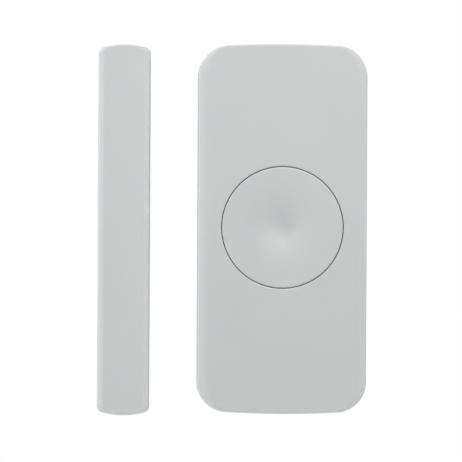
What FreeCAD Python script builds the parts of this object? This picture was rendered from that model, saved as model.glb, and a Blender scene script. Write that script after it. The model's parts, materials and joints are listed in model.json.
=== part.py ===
"""Wireless door contact sensor: a sensor unit on its mounting plate, and a magnet bar on its own plate.

Frame: +X right, +Z up, and -Y towards the person facing the sensor. The origin is the middle of the sensor's
mounting face, so the wall is the plane y = 0. Depths below are distances from that wall, in millimetres,
and a depth d lies at y = -d. Each sub-part is written to parts/NODE.step.
"""
import FreeCAD
import Part
import math
import os

V = FreeCAD.Vector
INTO_ROOM = V(0, -1, 0)

# ---------------------------------------------------------------- driving dimensions
SENSOR_WIDTH = 37.2
SENSOR_HEIGHT = 81.0
SENSOR_DEPTH = 22.0
SENSOR_CORNER = 6.8
SENSOR_BOW = 230.0          # radius of the gently bowed top and bottom edges
SENSOR_WALL = 1.6
SENSOR_DRAFT = 0.35         # how much narrower each side is at the front
SENSOR_EDGE = 1.5           # radius round the front face
FRONT_WALL = 1.8

MAGNET_WIDTH = 11.5
MAGNET_HEIGHT = 81.4
MAGNET_DEPTH = 11.0
MAGNET_CORNER = 1.5
MAGNET_BOW = 16.8
MAGNET_WALL = 1.2
MAGNET_DRAFT = 0.3
MAGNET_EDGE = 0.9
GAP_BESIDE = 10.35          # door closed: clear gap between the magnet bar and the sensor
MAGNET_X = -(SENSOR_WIDTH / 2 + GAP_BESIDE + MAGNET_WIDTH / 2)
MAGNET_Z = -0.3             # the bar's middle lies this far above the sensor's

PAD_FACE = 0.0              # the foam tape's outer face is the mounting face
PLATE_BACK = 0.6
PAD_SEAT = 1.0
PLATE_FRONT = 2.5
UNIT_BACK = 2.7
UNIT_SLIDE = 8.0            # travel that frees the sensor unit from its plate
MAGNET_SLIDE = 7.0

BUTTON_Z = 0.25
BUTTON_RADIUS = 13.17
BUTTON_GAP = 0.15
DISH_DEPTH = 1.8            # finger dish in the middle of the button
DISH_SPREAD = 6.0           # radius at which the dish is a quarter as deep
LENS_THICKNESS = 0.8

PCB_BACK = 7.5
PCB_FRONT = 8.7

BATTERY_RADIUS = 7.8
BATTERY_DEPTH = 11.0
BATTERY_Z = -28.6
BATTERY_LEFT = -13.2
BATTERY_SHOULDER = 12.9
BATTERY_RIGHT = 13.8

SNUG = 0.02                 # gap left where two pieces rest on each other
CHASSIS_GAP = 0.1
LIP_ROUND = 0.25            # rounding of the thin back rims
PAST = 1.0                  # how far a cutting shape runs past the face it cuts
SUNK = 0.2                  # how far a rib or post runs into the wall it stands on


# ---------------------------------------------------------------- shape helpers
def box(x0, x1, d0, d1, z0, z1):
    """A block between two x, two depths and two heights."""
    return Part.makeBox(x1 - x0, d1 - d0, z1 - z0, V(x0, -d1, z0))


def post(x, z, radius, d0, d1):
    """A round post or hole that points into the room."""
    return Part.makeCylinder(radius, d1 - d0, V(x, -d0, z), INTO_ROOM)


def cone(x, z, radius0, radius1, d0, d1):
    return Part.makeCone(radius0, radius1, d1 - d0, V(x, -d0, z), INTO_ROOM)


def bar(d, z, radius, x0, x1):
    """A round bar along X."""
    return Part.makeCylinder(radius, x1 - x0, V(x0, -d, z), V(1, 0, 0))


def rod(x, d, radius, z0, z1):
    """A round rod along Z."""
    return Part.makeCylinder(radius, z1 - z0, V(x, -d, z0), V(0, 0, 1))


def outline(width, height, corner, bow, x, d, inset=0.0):
    """A rounded rectangle whose top and bottom edges are bowed arcs, as a wire at one depth."""
    half_w = width / 2 - inset
    half_h = height / 2 - inset
    r = corner - inset
    big = bow - inset
    corner_x = half_w - r
    big_z = half_h - big
    corner_z = big_z + math.sqrt((big - r) ** 2 - corner_x ** 2)
    join_x = corner_x * big / (big - r)
    join_z = big_z + (corner_z - big_z) * big / (big - r)
    middle = math.atan2(corner_z - big_z, corner_x) / 2
    mid_x = corner_x + r * math.cos(middle)
    mid_z = corner_z + r * math.sin(middle)

    def at(px, pz):
        return V(x + px, -d, pz)

    edges = [
        Part.makeLine(at(half_w, -corner_z), at(half_w, corner_z)),
        Part.Arc(at(half_w, corner_z), at(mid_x, mid_z), at(join_x, join_z)).toShape(),
        Part.Arc(at(join_x, join_z), at(0, half_h), at(-join_x, join_z)).toShape(),
        Part.Arc(at(-join_x, join_z), at(-mid_x, mid_z), at(-half_w, corner_z)).toShape(),
        Part.makeLine(at(-half_w, corner_z), at(-half_w, -corner_z)),
        Part.Arc(at(-half_w, -corner_z), at(-mid_x, -mid_z), at(-join_x, -join_z)).toShape(),
        Part.Arc(at(-join_x, -join_z), at(0, -half_h), at(join_x, -join_z)).toShape(),
        Part.Arc(at(join_x, -join_z), at(mid_x, -mid_z), at(half_w, -corner_z)).toShape(),
    ]
    return Part.Wire(edges)


def sensor_outline(d, inset=0.0):
    return outline(SENSOR_WIDTH, SENSOR_HEIGHT, SENSOR_CORNER, SENSOR_BOW, 0, d, inset)


def magnet_outline(d, inset=0.0):
    return outline(MAGNET_WIDTH, MAGNET_HEIGHT, MAGNET_CORNER, MAGNET_BOW, MAGNET_X, d, inset)


def slab(profile, d0, d1, inset=0.0):
    """A straight-sided plate of one outline between two depths."""
    return Part.Face(profile(d0, inset)).extrude(V(0, -(d1 - d0), 0))


def drafted(profile, d0, inset0, d1, inset1):
    """A block whose sides lean in from inset0 at depth d0 to inset1 at depth d1."""
    return Part.makeLoft([profile(d0, inset0), profile(d1, inset1)], True, True)


def edges_at(shape, d, tolerance=1e-4):
    """The edges that lie wholly at one depth."""
    def flat(edge):
        limits = edge.BoundBox
        return abs(limits.YMin + d) < tolerance and abs(limits.YMax + d) < tolerance
    return [edge for edge in shape.Edges if flat(edge)]


def rounded_block(x0, x1, d0, d1, z0, z1, radius):
    """A block with its four corners, seen from the room, rounded."""
    block = box(x0, x1, d0, d1, z0, z1)
    corners = [e for e in block.Edges if e.BoundBox.XLength < 1e-6 and e.BoundBox.ZLength < 1e-6]
    return block.makeFillet(radius, corners)


def turned(points, x, z):
    """A solid turned about a line into the room at (x, z), from (radius, depth) points."""
    edges = []
    for start, end in zip(points, points[1:] + points[:1]):
        edges.append(Part.makeLine(V(x + start[0], -start[1], z), V(x + end[0], -end[1], z)))
    return Part.Face(Part.Wire(edges)).revolve(V(x, 0, z), INTO_ROOM, 360)


def fused(shapes):
    """All the shapes as one solid with no leftover seams."""
    return shapes[0].multiFuse(shapes[1:]).removeSplitter()


def cut(shape, tools):
    return shape.cut(Part.makeCompound(tools))


def group(shapes):
    return Part.makeCompound(shapes)


# ---------------------------------------------------------------- slide-on hooks
class Hooks:
    """T-shaped hooks on a plate, and the channels behind which they catch."""

    def __init__(self, places, stem, head, half_length, travel, plate_front, lip_back):
        self.places = places
        self.stem = stem
        self.head = head
        self.half_length = half_length
        self.travel = travel
        self.plate_front = plate_front
        self.lip_back = lip_back
        self.lip = 0.85
        self.lip_gap = 0.15
        self.head_thickness = 0.95
        self.side_gap = 0.3
        self.wall = 0.9
        self.head_back = lip_back + self.lip + self.lip_gap
        self.head_front = self.head_back + self.head_thickness

    def solids(self):
        made = []
        for x, z in self.places:
            low, high = z - self.half_length, z + self.half_length
            made.append(box(x - self.stem, x + self.stem, self.plate_front - SUNK, self.head_back, low, high))
            made.append(box(x - self.head, x + self.head, self.head_back, self.head_front, low, high))
        return made

    def bottom(self, z):
        return z - self.travel - self.half_length - self.side_gap

    def bosses(self, from_depth):
        """The raised walls round each channel, on the room side of the cover."""
        side = self.head + self.side_gap + self.wall
        front = self.head_front + self.side_gap + self.wall
        return [
            box(x - side, x + side, from_depth - SUNK, front,
                self.bottom(z) - self.wall, z + self.half_length + SNUG + self.wall)
            for x, z in self.places
        ]

    def channels(self):
        """What is cut from the cover: the slot, the space behind the lips, and the entry pocket."""
        cuts = []
        for x, z in self.places:
            low, high = self.bottom(z), z + self.half_length + SNUG
            pocket_top = z - self.travel + self.half_length + 2 * self.side_gap
            narrow, wide = self.stem + self.side_gap, self.head + self.side_gap
            lip_front = self.lip_back + self.lip
            back, front = self.lip_back - PAST, self.head_front + self.side_gap
            cuts.append(box(x - narrow, x + narrow, back, front, low, high))
            cuts.append(box(x - wide, x + wide, back, front, low, pocket_top))
            cuts.append(box(x - wide, x + wide, lip_front, front, low, high))
        return cuts


SENSOR_HOOKS = Hooks([(x, z) for x in (-11.0, 11.0) for z in (-8.0, 26.0)],
                     1.5, 3.0, 3.0, UNIT_SLIDE, PLATE_FRONT, UNIT_BACK)
MAGNET_HOOKS = Hooks([(MAGNET_X, z) for z in (-25.0, 27.0)],
                     1.1, 2.3, 2.6, MAGNET_SLIDE, PLATE_FRONT, UNIT_BACK)

# ---------------------------------------------------------------- mounting plates
SENSOR_HOLE_Z = 34.0
SENSOR_HOLE_RADIUS = 1.9
SENSOR_PAD = (29.0, 54.0)
MAGNET_HOLE_Z = 34.5
MAGNET_HOLE_RADIUS = 1.6
MAGNET_PAD = (7.4, 56.0)
PAD_CORNER = 1.5
PAD_MARGIN = 0.3
PLATE_ROUND = 0.35
PLATE_CHAMFER = 0.25
SINK_CUT = 0.5              # how far the countersinking tool stands out of the plate
EJECTOR_MARK = 0.08         # depth of the round marks that the mould's ejector pins leave
SENSOR_EJECTORS = [(dx, z, 1.6) for dx in (-12.5, 12.5) for z in (-32.0, 32.0)]
MAGNET_EJECTORS = [(0, z, 1.1) for z in (-30.6, 30.6)]


def mounting_plate(profile, inset, x, hooks, hole_z, hole_radius, pad, ejectors):
    """A plate with a tape recess and ejector marks behind, countersunk screw holes, and hooks in front."""
    plate = slab(profile, PLATE_BACK, PLATE_FRONT, inset)
    plate = plate.makeFillet(PLATE_ROUND, edges_at(plate, PLATE_FRONT))
    plate = plate.makeChamfer(PLATE_CHAMFER, edges_at(plate, PLATE_BACK))
    half_w, half_h = pad[0] / 2 + PAD_MARGIN, pad[1] / 2 + PAD_MARGIN
    behind = PLATE_BACK - PAST
    tools = [rounded_block(x - half_w, x + half_w, behind, PAD_SEAT, -half_h, half_h, PAD_CORNER)]
    for z in (-hole_z, hole_z):
        sink_front = PLATE_FRONT + SINK_CUT
        sink_back = sink_front - hole_radius - 0.1
        tools.append(post(x, z, hole_radius, behind, PLATE_FRONT + PAST))
        tools.append(cone(x, z, hole_radius, 2 * hole_radius + 0.1, sink_back, sink_front))
    for dx, z, radius in ejectors:
        tools.append(post(x + dx, z, radius, behind, PLATE_BACK + EJECTOR_MARK))
    return fused([cut(plate, tools)] + hooks.solids())


def sensor_backplate():
    plate = mounting_plate(sensor_outline, 0.8, 0, SENSOR_HOOKS, SENSOR_HOLE_Z, SENSOR_HOLE_RADIUS,
                           SENSOR_PAD, SENSOR_EJECTORS)
    ribs = [
        rounded_block(x - 2, x + 2, PLATE_FRONT - SUNK, UNIT_BACK - SNUG, z - 0.6, z + 0.6, 0.5)
        for x in (-6.0, 6.0) for z in (-16.0, 36.0)
    ]
    return fused([plate] + ribs)


def magnet_backplate():
    return mounting_plate(magnet_outline, 0.6, MAGNET_X, MAGNET_HOOKS,
                          MAGNET_HOLE_Z, MAGNET_HOLE_RADIUS, MAGNET_PAD, MAGNET_EJECTORS)


def adhesive_pad(x, pad):
    half_w, half_h = pad[0] / 2, pad[1] / 2
    return rounded_block(x - half_w, x + half_w, PAD_FACE, PAD_SEAT, -half_h, half_h, PAD_CORNER)


# ---------------------------------------------------------------- sensor unit: housing and chassis
CHASSIS_FRONT = 4.2
CHASSIS_SCREWS = [(-12.6, 34.3), (12.6, 34.3)]
SCREW_BOSS = 2.4
SCREW_PILOT = 0.85
PILOT_FRONT = 14.0
BOSS_MEET = 7.0
PCB_SCREWS = [(-12.8, 12.8), (12.8, 12.8), (0.0, -16.4)]
PCB_PILOT = 0.7
SLEEVE_BACK = 16.5
SLEEVE_WALL = 1.1
APERTURE = BUTTON_RADIUS + BUTTON_GAP
MOUTH_ROUND = 0.22
SIDE_RIBS = (-14.0, 24.0)
CONTACT_SLOT = (9.0, 11.0)
POSITIVE_X = (13.85, 14.15)
NEGATIVE_X = (-15.9, -15.6)
SNAP_TABS = (-8.0, 8.0)


def front_housing():
    inside_front = SENSOR_DEPTH - FRONT_WALL
    outer = drafted(sensor_outline, UNIT_BACK, 0, SENSOR_DEPTH, SENSOR_DRAFT)
    outer = outer.makeFillet(SENSOR_EDGE, edges_at(outer, SENSOR_DEPTH))
    inner = drafted(sensor_outline, UNIT_BACK - PAST, SENSOR_WALL, inside_front, SENSOR_WALL + SENSOR_DRAFT)
    inner = inner.makeFillet(0.8, edges_at(inner, inside_front))
    shell = outer.cut(inner)
    shell = shell.makeFillet(LIP_ROUND, edges_at(shell, UNIT_BACK))
    sunk_front = inside_front + SUNK
    sleeve = post(0, BUTTON_Z, APERTURE + SLEEVE_WALL, SLEEVE_BACK, sunk_front)
    bosses = [post(x, z, SCREW_BOSS, BOSS_MEET + SNUG, sunk_front) for x, z in CHASSIS_SCREWS]
    side = SENSOR_WIDTH / 2 - SENSOR_WALL
    ribs = []
    for z in SIDE_RIBS:
        for sign in (-1, 1):
            x0, x1 = sorted((sign * (side - 1.0), sign * (side + SUNK)))
            ribs.append(box(x0, x1, 9.5, sunk_front, z - 0.4, z + 0.4))
    shell = fused([shell, sleeve] + bosses + ribs)
    tools = [post(0, BUTTON_Z, APERTURE, SLEEVE_BACK - PAST, SENSOR_DEPTH + PAST)]
    tools += [post(x, z, SCREW_PILOT, BOSS_MEET - PAST, PILOT_FRONT) for x, z in CHASSIS_SCREWS]
    tools += [box(x - 2.7, x + 2.7, 3.1, 4.1, -39.7, -38.0) for x in SNAP_TABS]
    shell = cut(shell, tools)
    mouth = [e for e in edges_at(shell, SENSOR_DEPTH) if e.BoundBox.XLength < 2 * APERTURE + 0.1]
    return shell.makeFillet(MOUTH_ROUND, mouth)


def battery_trough():
    """The half-pipe that holds the cell, open towards the plate, as (solid, what is cut out of it)."""
    room = BATTERY_RADIUS + 0.25
    wall = room + 0.9
    end_wall = 0.5
    left = NEGATIVE_X[0] - end_wall
    right = POSITIVE_X[1] + 0.1 + end_wall
    solid = fused([
        bar(BATTERY_DEPTH, BATTERY_Z, wall, left, right),
        box(left, right, UNIT_BACK, BATTERY_DEPTH, BATTERY_Z - wall, BATTERY_Z + wall),
    ])
    inside = drafted(sensor_outline, UNIT_BACK, SENSOR_WALL + CHASSIS_GAP,
                     SENSOR_DEPTH - FRONT_WALL - CHASSIS_GAP, SENSOR_WALL + SENSOR_DRAFT + CHASSIS_GAP)
    hollow_left, hollow_right = left + end_wall, right - end_wall
    tools = [
        bar(BATTERY_DEPTH, BATTERY_Z, room, hollow_left, hollow_right),
        box(hollow_left, hollow_right, UNIT_BACK - 1, BATTERY_DEPTH, BATTERY_Z - room, BATTERY_Z + room),
    ]
    for x0, x1 in (POSITIVE_X, NEGATIVE_X):
        tools.append(box(x0 - 0.1, x1 + 0.1, CONTACT_SLOT[0] - 0.2, CONTACT_SLOT[1] + 0.2, -22.0, -19.0))
    return solid.common(inside), tools


def rear_chassis():
    base = slab(sensor_outline, UNIT_BACK, CHASSIS_FRONT, SENSOR_WALL + CHASSIS_GAP)
    trough, trough_cuts = battery_trough()
    screw_bosses = [post(x, z, SCREW_BOSS, UNIT_BACK, BOSS_MEET) for x, z in CHASSIS_SCREWS]
    pcb_bosses = [post(x, z, 2.0, UNIT_BACK, PCB_BACK) for x, z in PCB_SCREWS]
    tabs = [box(x - 2.5, x + 2.5, 3.2, 4.0, -39.4, -38.0) for x in SNAP_TABS]
    solid = fused([base, trough] + screw_bosses + pcb_bosses + tabs + SENSOR_HOOKS.bosses(CHASSIS_FRONT))
    tools = trough_cuts + SENSOR_HOOKS.channels()
    for x, z in CHASSIS_SCREWS:
        tools.append(post(x, z, 1.1, UNIT_BACK - 1, BOSS_MEET + 1))
        tools.append(post(x, z, 2.1, UNIT_BACK - 1, 4.4))
    tools += [post(x, z, PCB_PILOT, 5.0, PCB_BACK + 1) for x, z in PCB_SCREWS]
    return cut(solid, tools)


def screw(x, z, head_radius, head_back, head_front, shank_radius, tip, drive):
    """A self-tapping screw whose head is at head_back to head_front and whose point is at depth tip."""
    if tip > head_front:
        under, face = head_front, head_back
    else:
        under, face = head_back, head_front
    shank_from, shank_to = sorted((under, tip))
    body = fused([
        post(x, z, head_radius, head_back, head_front),
        post(x, z, shank_radius, shank_from, shank_to),
    ])
    slot = 0.5
    d0, d1 = sorted((face - slot, face + slot))
    cross = [box(x - drive, x + drive, d0, d1, z - 0.2, z + 0.2),
             box(x - 0.2, x + 0.2, d0, d1, z - drive, z + drive)]
    return cut(body, cross)


def chassis_screws():
    return group([screw(x, z, 1.9, 2.95, 4.4, SCREW_PILOT, 13.0, 1.1) for x, z in CHASSIS_SCREWS])


def pcb_screws():
    return group([screw(x, z, 1.6, PCB_FRONT, 9.8, PCB_PILOT, 5.3, 0.9) for x, z in PCB_SCREWS])


# ---------------------------------------------------------------- button
def dish(radius):
    """Depth of the finger dish below the front face at a radius from the button's middle."""
    def shape(r):
        return DISH_DEPTH / (1 + (r / DISH_SPREAD) ** 2) ** 2
    return shape(radius) - shape(BUTTON_RADIUS)


def dish_curve(d_edge, radii):
    """A smooth curve along the dish, from the middle out."""
    spline = Part.BSplineCurve()
    points = [V(r, -(d_edge - dish(r)), BUTTON_Z) for r in radii]
    spline.interpolate(points)
    return spline.toShape()


def button_lens():
    edge = 0.25
    skirt_inner = 12.2
    skirt_back = 18.6
    flat = BUTTON_RADIUS - edge
    outer = dish_curve(SENSOR_DEPTH, [0, 1.2, 2.4, 3.6, 5.0, 6.6, 8.4, 10.6, flat])
    inner = dish_curve(SENSOR_DEPTH - LENS_THICKNESS, [0, 1.2, 2.4, 3.6, 5.0, 6.6, 8.4, 10.6, skirt_inner])
    top = outer.Vertexes[-1].Point
    inside = inner.Vertexes[-1].Point
    turn = math.radians(45)
    middle = V(flat + edge * math.sin(turn), top.y + edge - edge * math.cos(turn), BUTTON_Z)
    side = V(BUTTON_RADIUS, top.y + edge, BUTTON_Z)
    low = V(BUTTON_RADIUS, -skirt_back, BUTTON_Z)
    low_in = V(skirt_inner, -skirt_back, BUTTON_Z)
    edges = [
        outer,
        Part.Arc(top, middle, side).toShape(),
        Part.makeLine(side, low),
        Part.makeLine(low, low_in),
        Part.makeLine(low_in, inside),
        inner,
        Part.makeLine(inner.Vertexes[0].Point, outer.Vertexes[0].Point),
    ]
    wire = Part.Wire(Part.__sortEdges__(edges))
    cap = Part.Face(wire).revolve(V(0, 0, BUTTON_Z), INTO_ROOM, 360)
    grooves = []
    for step in range(6):
        r = 3.0 + 1.1 * step
        d = SENSOR_DEPTH - LENS_THICKNESS - dish(r)
        grooves.append(turned([(r, d - 0.3), (r, d + 0.2), (r + 0.5, d - 0.3)], 0, BUTTON_Z))
    return cut(cap, grooves)


FRAME_BACK = 15.7
PLUNGER_X = 9.4
PLUNGER_TOP = 13.7


def button_frame():
    """The ring inside the lens's skirt, with three catches and two posts that work the switches."""
    ring = post(0, BUTTON_Z, 12.15, FRAME_BACK, 20.9).cut(post(0, BUTTON_Z, 10.7, FRAME_BACK - 1, 22.0))
    catch_ring = post(0, BUTTON_Z, 14.2, FRAME_BACK, SLEEVE_BACK - SNUG)
    catch_ring = catch_ring.cut(post(0, BUTTON_Z, 11.2, FRAME_BACK - 1, SLEEVE_BACK))
    catches = []
    for angle in (90, 210, 330):
        sector = box(0, 20, FRAME_BACK - 1, SLEEVE_BACK, BUTTON_Z - 2, BUTTON_Z + 2)
        sector.rotate(V(0, 0, BUTTON_Z), V(0, 1, 0), angle)
        catches.append(catch_ring.common(sector))
    posts = []
    for sign in (-1, 1):
        x0, x1 = sorted((sign * 8.6, sign * 11.3))
        posts.append(post(sign * PLUNGER_X, BUTTON_Z, 1.2, PLUNGER_TOP + SNUG, 17.4))
        posts.append(box(x0, x1, 16.4, 17.4, BUTTON_Z - 1.2, BUTTON_Z + 1.2))
    return fused([ring] + catches + posts)


# ---------------------------------------------------------------- electronics
def main_pcb():
    half = 15.8
    board = rounded_block(-half, half, PCB_BACK, PCB_FRONT, -18.9, 31.2, 1.2)
    tongue = rounded_block(-9.4, 9.4, PCB_BACK, PCB_FRONT, 20.0, 36.8, 1.2)
    board = fused([board, tongue])
    holes = [post(x, z, 0.95, PCB_BACK - 1, PCB_FRONT + 1) for x, z in PCB_SCREWS]
    holes += [post(x, z, 0.4, PCB_BACK - 1, PCB_FRONT + 1) for x, z in PIR_PINS + REED_FEET]
    return cut(board, holes)


def chip(x, z, width, height, thick):
    """A package lying on the board, with its middle at (x, z)."""
    half_w, half_h = width / 2, height / 2
    front = PCB_FRONT + thick
    return rounded_block(x - half_w, x + half_w, PCB_FRONT, front, z - half_h, z + half_h, 0.12)


SHIELD_PLACE = (0.0, 26.0)


def rf_shield():
    """A thin can over the radio chip, open below, with nine vents in its lid."""
    x, z = SHIELD_PLACE
    half_w, half_h, top = 6.5, 5.5, PCB_FRONT + 2.0
    wall = 0.2
    outer = rounded_block(x - half_w, x + half_w, PCB_FRONT, top, z - half_h, z + half_h, 0.6)
    inner = box(x - half_w + wall, x + half_w - wall, PCB_FRONT - PAST, top - wall,
                z - half_h + wall, z + half_h - wall)
    vents = [post(x + i * 2.4, z + j * 2.4, 0.5, PCB_FRONT, top + PAST) for i in (-1, 0, 1) for j in (-1, 0, 1)]
    return cut(outer, [inner] + vents)


def radio_chip():
    return chip(SHIELD_PLACE[0], SHIELD_PLACE[1], 6.0, 6.0, 0.9)


def microcontroller():
    return chip(9.2, 17.4, 6.0, 6.0, 0.9)


def crystal():
    return chip(2.6, 16.4, 3.2, 1.6, 0.8)


def antenna():
    """A folded strip standing on the board's tongue, on two feet."""
    top0, top1 = 12.2, 12.5
    strip = rounded_block(-8.0, 8.0, top0, top1, 33.4, 35.6, 0.4)
    feet = [box(x, x + 0.3, PCB_FRONT, top0 + 0.1, 33.8, 35.2) for x in (-7.6, -4.2)]
    return fused([strip] + feet)


def status_leds():
    return group([chip(0, BUTTON_Z + sign * PIPE_OFFSET, 1.6, 0.8, 0.7) for sign in (-1, 1)])


def smd_components():
    """Small ceramic capacitors and resistors, in rows either side of the chips."""
    made = []
    for row in range(4):
        for column in range(3):
            made.append(chip(-12.4 + 2.4 * column, 16.4 + 1.9 * row, 1.6, 0.8, 0.6))
    for column in range(4):
        made.append(chip(-5.4 + 2.6 * column, -12.6, 1.6, 0.8, 0.6))
    return group(made)


PIR_SEAT = 9.2
PIR_TOP = 13.3
PIR_SHEET = 0.25            # thickness of the can's sheet metal
PIR_PINS = [(2.54 * math.cos(math.radians(a)), BUTTON_Z + 2.54 * math.sin(math.radians(a)))
            for a in (90, 180, 270)]


def pir_can():
    """The round metal can of the infrared motion detector, with its rim and its window opening."""
    flange = post(0, BUTTON_Z, 4.6, PIR_SEAT + SNUG, PIR_SEAT + 0.5)
    can = fused([flange, post(0, BUTTON_Z, 4.1, PIR_SEAT + 0.3, PIR_TOP)])
    can = can.makeFillet(0.4, edges_at(can, PIR_TOP))
    tools = [post(0, BUTTON_Z, 3.85, PIR_SEAT - PAST, PIR_TOP - PIR_SHEET),
             box(-2.0, 2.0, PIR_TOP - PAST, PIR_TOP + PAST, BUTTON_Z - 1.5, BUTTON_Z + 1.5)]
    return cut(can, tools)


def pir_window():
    """The filter pane behind the can's opening."""
    front = PIR_TOP - PIR_SHEET
    return box(-2.4, 2.4, front - 0.5, front - SNUG, BUTTON_Z - 1.9, BUTTON_Z + 1.9)


def pir_header():
    """The can's base, which its three pins pass through, and the sensing element on it."""
    base = post(0, BUTTON_Z, 3.8, PIR_SEAT + SNUG, PIR_SEAT + 0.9)
    base = cut(base, [post(x, z, 0.25, PIR_SEAT - PAST, PIR_SEAT + PAST) for x, z in PIR_PINS])
    element = box(-1.2, 1.2, PIR_SEAT + 0.9, PIR_SEAT + 2.6, BUTTON_Z - 1.0, BUTTON_Z + 1.0)
    return fused([base, element])


def pir_pins():
    return group([post(x, z, 0.22, 6.7, PIR_SEAT + 1.4) for x, z in PIR_PINS])


PIPE_OFFSET = 9.4
EAR_BACK, EAR_FRONT = 11.5, 12.4


def pir_funnel():
    """A flared tube that keeps stray light off the detector, with two ears that hold the light pipes."""
    tube = turned([(4.8, PCB_FRONT + SNUG), (5.6, PCB_FRONT + SNUG), (5.6, 13.4), (7.7, 17.4),
                   (7.1, 17.4), (4.8, 13.4)], 0, BUTTON_Z)
    ears = []
    for sign in (-1, 1):
        z0, z1 = sorted((BUTTON_Z + sign * 5.4, BUTTON_Z + sign * (PIPE_OFFSET + 1.9)))
        ears.append(rounded_block(-1.9, 1.9, EAR_BACK, EAR_FRONT, z0, z1, 0.8))
    body = fused([tube] + ears)
    holes = [post(0, BUTTON_Z + sign * PIPE_OFFSET, 1.03, EAR_BACK - 1, EAR_FRONT + 1) for sign in (-1, 1)]
    core = post(0, BUTTON_Z, 4.8, PCB_FRONT, 13.4)
    return cut(body, holes + [core])


def light_pipes():
    """Clear rods that carry the status light from the board up to the back of the button."""
    made = []
    for sign in (-1, 1):
        z = BUTTON_Z + sign * PIPE_OFFSET
        made.append(fused([post(0, z, 1.0, 9.6, 20.2), post(0, z, 1.5, EAR_FRONT + SNUG, EAR_FRONT + 0.7)]))
    return group(made)


SWITCH_TOP = 12.2


def tactile_switches():
    """Two square switch bodies, one each side of the detector, open where their plungers move."""
    made = []
    for sign in (-1, 1):
        x = sign * PLUNGER_X
        body = rounded_block(x - 3, x + 3, PCB_FRONT, SWITCH_TOP, BUTTON_Z - 3, BUTTON_Z + 3, 0.3)
        studs = [post(x + i * 2.2, BUTTON_Z + j * 2.2, 0.4, SWITCH_TOP - 0.1, SWITCH_TOP + 0.15)
                 for i in (-1, 1) for j in (-1, 1)]
        well = post(x, BUTTON_Z, 1.78, 10.1, SWITCH_TOP + 1)
        made.append(cut(fused([body] + studs), [well]))
    return group(made)


def switch_plungers():
    return group([post(sign * PLUNGER_X, BUTTON_Z, 1.7, 10.9, PLUNGER_TOP) for sign in (-1, 1)])


# ---------------------------------------------------------------- reed switch
REED_X = -14.1
REED_D = 10.4
REED_Z = 0.4
REED_FEET = [(REED_X, REED_Z - 10.2), (REED_X, REED_Z + 10.2)]
REED_LEAD = 0.25
SEAL = 5.7


def reed_glass():
    glass = rod(REED_X, REED_D, 1.1, REED_Z - 7.0, REED_Z + 7.0)
    ends = [e for e in glass.Edges if e.BoundBox.ZLength < 1e-6]
    glass = glass.makeFillet(0.6, ends)
    return cut(glass, [rod(REED_X, REED_D, 0.8, REED_Z - SEAL, REED_Z + SEAL),
                       rod(REED_X, REED_D, REED_LEAD, REED_Z - 8, REED_Z + 8)])


def reed_lead(sign):
    """The round wire from the glass seal, bent down to a hole in the board."""
    foot_z = REED_Z + sign * 10.2
    z0, z1 = sorted((REED_Z + sign * (SEAL + 0.02), foot_z))
    wire = rod(REED_X, REED_D, REED_LEAD, z0, z1)
    elbow = Part.makeSphere(REED_LEAD, V(REED_X, -REED_D, foot_z))
    return fused([wire, elbow, post(REED_X, foot_z, REED_LEAD, 6.9, REED_D)])


def reed_fixed_blade():
    """The lower lead and the flat blade it ends in, inside the glass."""
    blade = box(REED_X - 0.22, REED_X - 0.01, REED_D - 0.4, REED_D + 0.4, REED_Z - SEAL + 0.05, REED_Z + 1.0)
    stub = rod(REED_X, REED_D, 0.2, REED_Z - SEAL - 0.3, REED_Z - SEAL + 0.8)
    stub = stub.common(box(REED_X - 0.22, REED_X + 0.22, REED_D - 1, REED_D + 1, REED_Z - 7, REED_Z))
    return fused([reed_lead(-1), stub, blade])


def reed_moving_blade():
    return box(REED_X + 0.01, REED_X + 0.2, REED_D - 0.4, REED_D + 0.4, REED_Z - 1.0, REED_Z + SEAL - 0.1)


# ---------------------------------------------------------------- battery
CAN_RADIUS = BATTERY_RADIUS - 0.25
CAN_ENDS = (BATTERY_LEFT + 0.22, BATTERY_SHOULDER - 0.42)
CAN_WALL = 0.3
CAP_RADIUS = 3.2


def cell_bar(radius, x0, x1):
    """A round bar on the cell's own axis."""
    return bar(BATTERY_DEPTH, BATTERY_Z, radius, x0, x1)


def battery_can():
    """The drawn steel can, with a hole in its lid under the positive cap."""
    can = cell_bar(CAN_RADIUS, CAN_ENDS[0], CAN_ENDS[1])
    hollow = cell_bar(CAN_RADIUS - CAN_WALL, CAN_ENDS[0] + CAN_WALL, CAN_ENDS[1] - CAN_WALL)
    return cut(can, [hollow, cell_bar(2.6, 0, BATTERY_RIGHT)])


def battery_core():
    """The wound electrodes inside the can."""
    clear = CAN_WALL + 0.05
    core = cell_bar(CAN_RADIUS - clear, CAN_ENDS[0] + clear, CAN_ENDS[1] - clear)
    return core.cut(cell_bar(1.2, BATTERY_LEFT, BATTERY_RIGHT))


def battery_sleeve():
    """The plastic wrap, shrunk a little way over both ends of the cell."""
    tube = cell_bar(BATTERY_RADIUS, BATTERY_LEFT, BATTERY_SHOULDER)
    tube = tube.makeFillet(0.2, [e for e in tube.Edges if e.BoundBox.XLength < 1e-6])
    return cut(tube, [
        cell_bar(CAN_RADIUS, BATTERY_LEFT + 0.2, BATTERY_SHOULDER - 0.2),
        cell_bar(BATTERY_RADIUS - 1.4, BATTERY_LEFT - PAST, BATTERY_SHOULDER + PAST),
    ])


def battery_washer():
    ring = cell_bar(BATTERY_RADIUS - 0.3, BATTERY_SHOULDER - 0.4, BATTERY_SHOULDER - 0.22)
    return ring.cut(cell_bar(CAP_RADIUS + 0.05, BATTERY_SHOULDER - PAST, BATTERY_SHOULDER + PAST))


def battery_positive_cap():
    cap = cell_bar(CAP_RADIUS, BATTERY_SHOULDER - 0.4, BATTERY_RIGHT)
    return cap.makeFillet(0.4, [e for e in cap.Edges if abs(e.BoundBox.XMin - BATTERY_RIGHT) < 1e-6])


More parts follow.
